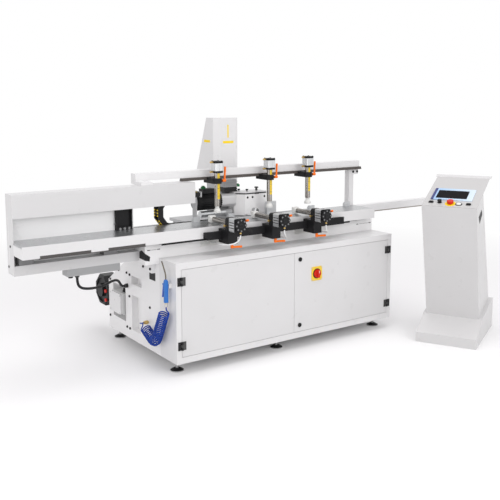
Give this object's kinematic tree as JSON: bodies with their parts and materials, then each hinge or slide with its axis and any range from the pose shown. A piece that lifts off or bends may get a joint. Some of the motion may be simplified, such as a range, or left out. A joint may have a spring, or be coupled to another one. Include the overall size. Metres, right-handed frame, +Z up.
{
  "type": "cnc horizontal mortiser",
  "caption": "Horizontal mortiser with a travelling spindle head, long work table, air clamps, door cabinet and free-standing control console.",
  "frame": {"origin": "floor under the middle of the machine's bounding box, console included", "axes": "+X along the work table to the right as the operator sees it, +Y away from the operator, +Z up"},
  "size_m": [3.312, 1.82, 1.482],
  "materials": {
    "white_paint": "satin white enamel",
    "black_metal": "satin black",
    "ground_steel": "ground",
    "foot_steel": "zinc plated",
    "red_plastic": "gloss",
    "white_plastic": "matt",
    "orange_plastic": "matt",
    "black_plastic": "matt",
    "grey_plastic": "matt",
    "blue_plastic": "gloss",
    "cable": "matt",
    "clear_hose": "gloss",
    "chrome": "polished",
    "aluminium": "anodised",
    "black_aluminium": "black anodised",
    "cast": "machined and painted grey"
  },
  "bodies": {
    "base": {"cabinet_shell": "white_paint", "door_hinges": "black_metal", "levelling_feet": "foot_steel", "end_frame": "white_paint", "machine_bed": "white_paint", "work_table": "ground_steel", "table_skirt": "white_paint", "clamp_rails": "black_metal", "guard_housing": "white_paint", "guard_upright": "black_metal", "clamp_beam": "white_paint", "energy_chain": "black_plastic", "electrical_gear": "grey_plastic", "tray_cable": "cable", "coil_hose": "blue_plastic", "blow_gun": "blue_plastic", "rear_blower": "black_aluminium", "console_body": "white_paint", "console_panel": "grey_plastic"},
    "left_door": {"left_door": "white_paint"},
    "right_door": {"right_door": "white_paint"},
    "main_switch": {"switch_handle": "red_plastic"},
    "upper_lock": {"upper_lock": "black_metal"},
    "lower_lock": {"lower_lock": "black_metal"},
    "vertical_bracket_1": {"vertical_bracket_1": "black_metal"},
    "vertical_column_1": {"clamp_column_1": "chrome"},
    "vertical_foot_1": {"vertical_foot_1": "white_plastic"},
    "column_lever_1": {"column_lever_1": "orange_plastic"},
    "vertical_bracket_2": {"vertical_bracket_2": "black_metal"},
    "vertical_column_2": {"clamp_column_2": "chrome"},
    "vertical_foot_2": {"vertical_foot_2": "white_plastic"},
    "column_lever_2": {"column_lever_2": "orange_plastic"},
    "vertical_bracket_3": {"vertical_bracket_3": "black_metal"},
    "vertical_column_3": {"clamp_column_3": "chrome"},
    "vertical_foot_3": {"vertical_foot_3": "white_plastic"},
    "column_lever_3": {"column_lever_3": "orange_plastic"},
    "front_bracket_1": {"front_bracket_1": "black_metal"},
    "front_cylinder_1": {"front_cylinder_1": "aluminium", "air_hose_1": "clear_hose"},
    "front_foot_1": {"front_foot_1": "white_plastic"},
    "rail_lever_1": {"rail_lever_1": "orange_plastic"},
    "front_bracket_2": {"front_bracket_2": "black_metal"},
    "front_cylinder_2": {"front_cylinder_2": "aluminium", "air_hose_2": "clear_hose"},
    "front_foot_2": {"front_foot_2": "white_plastic"},
    "rail_lever_2": {"rail_lever_2": "orange_plastic"},
    "front_bracket_3": {"front_bracket_3": "black_metal"},
    "front_cylinder_3": {"front_cylinder_3": "aluminium", "air_hose_3": "clear_hose"},
    "front_foot_3": {"front_foot_3": "white_plastic"},
    "rail_lever_3": {"rail_lever_3": "orange_plastic"},
    "carriage": {"head_carriage": "cast", "column_cover": "white_paint"},
    "lift": {"head_slide": "cast"},
    "plunge": {"spindle_housing": "aluminium", "spindle_motor": "black_aluminium"},
    "spindle": {"spindle_chuck": "ground_steel"},
    "trigger": {"gun_trigger": "blue_plastic"},
    "emergency_stop": {"emergency_stop": "red_plastic"},
    "start_button": {"start_button": "white_plastic"}
  },
  "joints": [
    {"name": "left_door_swing", "type": "hinge", "parent": "base", "child": "left_door", "pos_m": [-0.789, -0.2364, 0.375], "axis": [0, 0, -1], "range_deg": [0, 110]},
    {"name": "right_door_swing", "type": "hinge", "parent": "base", "child": "right_door", "pos_m": [0.861, -0.2364, 0.375], "axis": [0, 0, 1], "range_deg": [0, 75]},
    {"name": "switch_turn", "type": "hinge", "parent": "right_door", "child": "main_switch", "pos_m": [0.219, -0.2343, 0.482], "axis": [0, -1, 0], "range_deg": [0, 90]},
    {"name": "upper_lock_turn", "type": "hinge", "parent": "right_door", "child": "upper_lock", "pos_m": [0.081, -0.23, 0.591], "axis": [0, -1, 0], "range_deg": [0, 90]},
    {"name": "lower_lock_turn", "type": "hinge", "parent": "right_door", "child": "lower_lock", "pos_m": [0.081, -0.23, 0.159], "axis": [0, -1, 0], "range_deg": [0, 90]},
    {"name": "vertical_shift_1", "type": "slide", "parent": "base", "child": "vertical_bracket_1", "axis": [1, 0, 0], "range_m": [-0.05, 0.05]},
    {"name": "vertical_height_1", "type": "slide", "parent": "vertical_bracket_1", "child": "vertical_column_1", "axis": [0, 0, 1], "range_m": [0, 0.1]},
    {"name": "vertical_press_1", "type": "slide", "parent": "vertical_column_1", "child": "vertical_foot_1", "axis": [0, 0, 1], "range_m": [-0.05, 0]},
    {"name": "column_lever_turn_1", "type": "hinge", "parent": "vertical_bracket_1", "child": "column_lever_1", "pos_m": [-0.326, 0.05, 1.097], "axis": [1, 0, 0], "range_deg": [0, 90]},
    {"name": "vertical_shift_2", "type": "slide", "parent": "base", "child": "vertical_bracket_2", "axis": [1, 0, 0], "range_m": [-0.05, 0.05]},
    {"name": "vertical_height_2", "type": "slide", "parent": "vertical_bracket_2", "child": "vertical_column_2", "axis": [0, 0, 1], "range_m": [0, 0.1]},
    {"name": "vertical_press_2", "type": "slide", "parent": "vertical_column_2", "child": "vertical_foot_2", "axis": [0, 0, 1], "range_m": [-0.05, 0]},
    {"name": "column_lever_turn_2", "type": "hinge", "parent": "vertical_bracket_2", "child": "column_lever_2", "pos_m": [0.081, 0.05, 1.097], "axis": [1, 0, 0], "range_deg": [0, 90]},
    {"name": "vertical_shift_3", "type": "slide", "parent": "base", "child": "vertical_bracket_3", "axis": [1, 0, 0], "range_m": [-0.05, 0.05]},
    {"name": "vertical_height_3", "type": "slide", "parent": "vertical_bracket_3", "child": "vertical_column_3", "axis": [0, 0, 1], "range_m": [0, 0.1]},
    {"name": "vertical_press_3", "type": "slide", "parent": "vertical_column_3", "child": "vertical_foot_3", "axis": [0, 0, 1], "range_m": [-0.05, 0]},
    {"name": "column_lever_turn_3", "type": "hinge", "parent": "vertical_bracket_3", "child": "column_lever_3", "pos_m": [0.406, 0.05, 1.097], "axis": [1, 0, 0], "range_deg": [0, 90]},
    {"name": "front_shift_1", "type": "slide", "parent": "base", "child": "front_bracket_1", "axis": [1, 0, 0], "range_m": [-0.05, 0.05]},
    {"name": "front_reach_1", "type": "slide", "parent": "front_bracket_1", "child": "front_cylinder_1", "axis": [0, 1, 0], "range_m": [-0.08, 0]},
    {"name": "front_press_1", "type": "slide", "parent": "front_cylinder_1", "child": "front_foot_1", "axis": [0, 1, 0], "range_m": [0, 0.05]},
    {"name": "rail_lever_turn_1", "type": "hinge", "parent": "front_bracket_1", "child": "rail_lever_1", "pos_m": [-0.427, -0.21, 0.735], "axis": [0, 0, 1], "range_deg": [-45, 45]},
    {"name": "front_shift_2", "type": "slide", "parent": "base", "child": "front_bracket_2", "axis": [1, 0, 0], "range_m": [-0.05, 0.05]},
    {"name": "front_reach_2", "type": "slide", "parent": "front_bracket_2", "child": "front_cylinder_2", "axis": [0, 1, 0], "range_m": [-0.08, 0]},
    {"name": "front_press_2", "type": "slide", "parent": "front_cylinder_2", "child": "front_foot_2", "axis": [0, 1, 0], "range_m": [0, 0.05]},
    {"name": "rail_lever_turn_2", "type": "hinge", "parent": "front_bracket_2", "child": "rail_lever_2", "pos_m": [-0.102, -0.21, 0.735], "axis": [0, 0, 1], "range_deg": [-45, 45]},
    {"name": "front_shift_3", "type": "slide", "parent": "base", "child": "front_bracket_3", "axis": [1, 0, 0], "range_m": [-0.05, 0.05]},
    {"name": "front_reach_3", "type": "slide", "parent": "front_bracket_3", "child": "front_cylinder_3", "axis": [0, 1, 0], "range_m": [-0.08, 0]},
    {"name": "front_press_3", "type": "slide", "parent": "front_cylinder_3", "child": "front_foot_3", "axis": [0, 1, 0], "range_m": [0, 0.05]},
    {"name": "rail_lever_turn_3", "type": "hinge", "parent": "front_bracket_3", "child": "rail_lever_3", "pos_m": [0.232, -0.21, 0.735], "axis": [0, 0, 1], "range_deg": [-45, 45]},
    {"name": "head_traverse", "type": "slide", "parent": "base", "child": "carriage", "axis": [1, 0, 0], "range_m": [0, 0.65], "deforming": ["energy_chain"]},
    {"name": "head_lift", "type": "slide", "parent": "carriage", "child": "lift", "axis": [0, 0, 1], "range_m": [0, 0.06]},
    {"name": "head_plunge", "type": "slide", "parent": "lift", "child": "plunge", "axis": [0, 1, 0], "range_m": [-0.045, 0]},
    {"name": "spindle_spin", "type": "hinge", "parent": "plunge", "child": "spindle", "pos_m": [0.001, 0.1695, 0.868], "axis": [0, 1, 0], "continuous": true},
    {"name": "trigger_pull", "type": "hinge", "parent": "base", "child": "trigger", "pos_m": [-0.854, -0.1456, 0.5464], "axis": [-1, 0, 0], "range_deg": [0, 10], "stiffness_Nm_per_rad": 0.2},
    {"name": "stop_press", "type": "slide", "parent": "base", "child": "emergency_stop", "axis": [0.2906, 0.1552, -0.9442], "range_m": [0, 0.006], "stiffness_N_per_m": 1500},
    {"name": "start_press", "type": "slide", "parent": "base", "child": "start_button", "axis": [0.2906, 0.1552, -0.9442], "range_m": [0, 0.003], "stiffness_N_per_m": 600}
  ]
}
